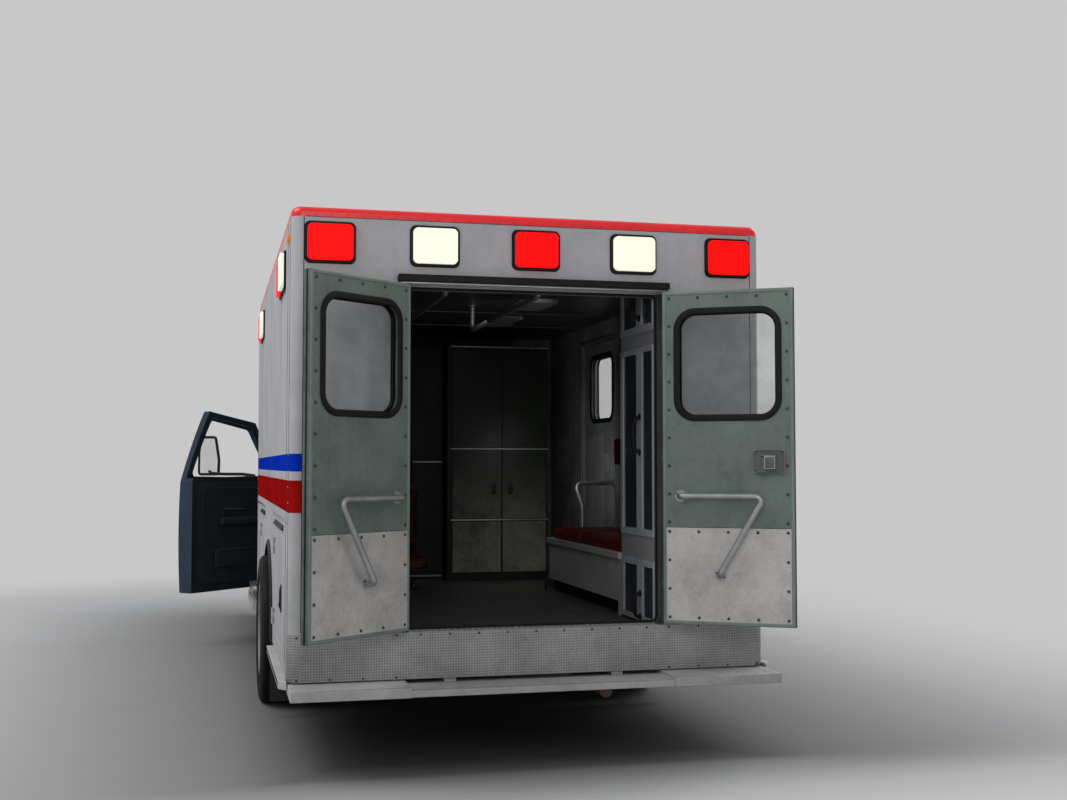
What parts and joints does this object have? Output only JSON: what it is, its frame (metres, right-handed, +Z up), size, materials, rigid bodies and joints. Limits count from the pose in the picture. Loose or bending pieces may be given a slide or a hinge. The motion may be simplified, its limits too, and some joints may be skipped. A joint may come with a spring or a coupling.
{
  "type": "ambulance",
  "caption": "Box-bodied ambulance on a van cab, parked with rear and cab doors open, with squad bench, cabinets, warning lights, steered front wheels and twin rear wheels.",
  "frame": {"origin": "middle of the parked vehicle's bounding box, on the ground", "axes": "+X to the vehicle's right, +Y forward, +Z up"},
  "size_m": [3.6616, 7.4249, 2.742],
  "materials": {
    "white_paint": "gloss white paint",
    "red_paint": "gloss red paint",
    "green_paint": "grey-green paint",
    "window_glass": "clear",
    "bright_tube": "satin",
    "tread_plate": "treaded",
    "black_trim": "satin black",
    "mud_rubber": "matt",
    "red_lens": "clear red",
    "cream_lens": "clear cream",
    "headlamp_lens": "clear",
    "grey_plastic": "satin",
    "dark_plastic": "grained",
    "red_vinyl": "smooth vinyl",
    "cabinet_laminate": "satin laminate",
    "floor_grey": "worn sheet",
    "chassis_black": "satin black",
    "engine_iron": "cast",
    "wheel_steel": "painted steel",
    "tyre_rubber": "matt"
  },
  "bodies": {
    "chassis": {"corner_posts": "white_paint", "left_side_wall": "white_paint", "right_side_wall": "white_paint", "front_wall": "white_paint", "rear_wall": "white_paint", "roof_panel": "white_paint", "cab_body": "white_paint", "front_fenders": "white_paint", "roof_edge": "red_paint", "windshield": "window_glass", "grab_rails": "bright_tube", "kick_panel": "tread_plate", "rear_steps": "tread_plate", "running_boards": "tread_plate", "drip_rail": "black_trim", "light_bezels": "black_trim", "mud_flaps": "mud_rubber", "red_lenses": "red_lens", "cream_lenses": "cream_lens", "headlamps": "headlamp_lens", "grille": "grey_plastic", "front_bumper": "grey_plastic", "dashboard": "dark_plastic", "bench_cushions": "red_vinyl", "seats": "red_vinyl", "right_cabinet": "cabinet_laminate", "front_cabinet": "cabinet_laminate", "left_cabinets": "cabinet_laminate", "squad_bench": "cabinet_laminate", "module_floor": "floor_grey", "frame_rails": "chassis_black", "rear_axle": "chassis_black", "front_axle": "chassis_black", "engine_block": "engine_iron"},
    "rear_left_door": {"rear_left_door": "green_paint", "rear_left_window": "window_glass", "rear_left_handle": "bright_tube"},
    "rear_right_door": {"rear_right_door": "green_paint", "rear_right_window": "window_glass", "rear_right_handle": "bright_tube"},
    "side_entry_door": {"side_entry_door": "white_paint", "side_entry_window": "window_glass"},
    "left_rear_locker": {"left_rear_locker": "white_paint"},
    "left_front_locker": {"left_front_locker": "white_paint"},
    "right_rear_locker": {"right_rear_locker": "white_paint"},
    "cab_left_door": {"cab_left_door": "white_paint", "left_mirror": "black_trim"},
    "cab_right_door": {"cab_right_door": "white_paint", "right_mirror": "black_trim"},
    "hood": {"hood": "white_paint"},
    "left_knuckle": {"left_knuckle": "chassis_black"},
    "right_knuckle": {"right_knuckle": "chassis_black"},
    "front_left_wheel": {"front_left_wheel": "wheel_steel", "front_left_tyre": "tyre_rubber"},
    "front_right_wheel": {"front_right_wheel": "wheel_steel", "front_right_tyre": "tyre_rubber"},
    "rear_left_wheels": {"rear_left_wheels": "wheel_steel", "rear_left_tyres": "tyre_rubber"},
    "rear_right_wheels": {"rear_right_wheels": "wheel_steel", "rear_right_tyres": "tyre_rubber"}
  },
  "joints": [
    {"name": "rear_left_door_hinge", "type": "hinge", "parent": "chassis", "child": "rear_left_door", "pos_m": [-0.674, -3.255, 1.5], "axis": [0, 0, 1], "range_deg": [-24.1, 140.9]},
    {"name": "rear_right_door_hinge", "type": "hinge", "parent": "chassis", "child": "rear_right_door", "pos_m": [0.674, -3.255, 1.5], "axis": [0, 0, 1], "range_deg": [-148.3, 16.7]},
    {"name": "side_entry_hinge", "type": "hinge", "parent": "chassis", "child": "side_entry_door", "pos_m": [1.23, -0.102, 1.5], "axis": [0, 0, 1], "range_deg": [0, 95]},
    {"name": "left_rear_locker_hinge", "type": "hinge", "parent": "chassis", "child": "left_rear_locker", "pos_m": [-1.23, -1.932, 0.82], "axis": [0, 0, -1], "range_deg": [0, 95]},
    {"name": "left_front_locker_hinge", "type": "hinge", "parent": "chassis", "child": "left_front_locker", "pos_m": [-1.23, 0.038, 0.82], "axis": [0, 0, -1], "range_deg": [0, 95]},
    {"name": "right_rear_locker_hinge", "type": "hinge", "parent": "chassis", "child": "right_rear_locker", "pos_m": [1.23, -1.932, 0.82], "axis": [0, 0, 1], "range_deg": [0, 95]},
    {"name": "cab_left_door_hinge", "type": "hinge", "parent": "chassis", "child": "cab_left_door", "pos_m": [-1.012, 2.255, 1], "axis": [0, 0, -1], "range_deg": [-45, 20]},
    {"name": "cab_right_door_hinge", "type": "hinge", "parent": "chassis", "child": "cab_right_door", "pos_m": [1.012, 2.255, 1], "axis": [0, 0, 1], "range_deg": [-45, 20]},
    {"name": "hood_hinge", "type": "hinge", "parent": "chassis", "child": "hood", "pos_m": [0, 2.552, 1.372], "axis": [1, 0, 0], "range_deg": [0, 50]},
    {"name": "left_steering", "type": "hinge", "parent": "chassis", "child": "left_knuckle", "pos_m": [-0.7, 2.855, 0.455], "axis": [0, 0, 1], "range_deg": [-28, 28]},
    {"name": "right_steering", "type": "hinge", "parent": "chassis", "child": "right_knuckle", "pos_m": [0.7, 2.855, 0.455], "axis": [0, 0, 1], "range_deg": [-28, 28]},
    {"name": "front_left_spin", "type": "hinge", "parent": "left_knuckle", "child": "front_left_wheel", "pos_m": [-0.875, 2.855, 0.455], "axis": [1, 0, 0], "continuous": true},
    {"name": "front_right_spin", "type": "hinge", "parent": "right_knuckle", "child": "front_right_wheel", "pos_m": [0.875, 2.855, 0.455], "axis": [1, 0, 0], "continuous": true},
    {"name": "rear_left_spin", "type": "hinge", "parent": "chassis", "child": "rear_left_wheels", "pos_m": [-1.04, -1.145, 0.455], "axis": [1, 0, 0], "continuous": true},
    {"name": "rear_right_spin", "type": "hinge", "parent": "chassis", "child": "rear_right_wheels", "pos_m": [1.04, -1.145, 0.455], "axis": [1, 0, 0], "continuous": true}
  ],
  "couplings": [
    {"joint": "right_steering", "follows": "left_steering", "ratio": 1}
  ]
}
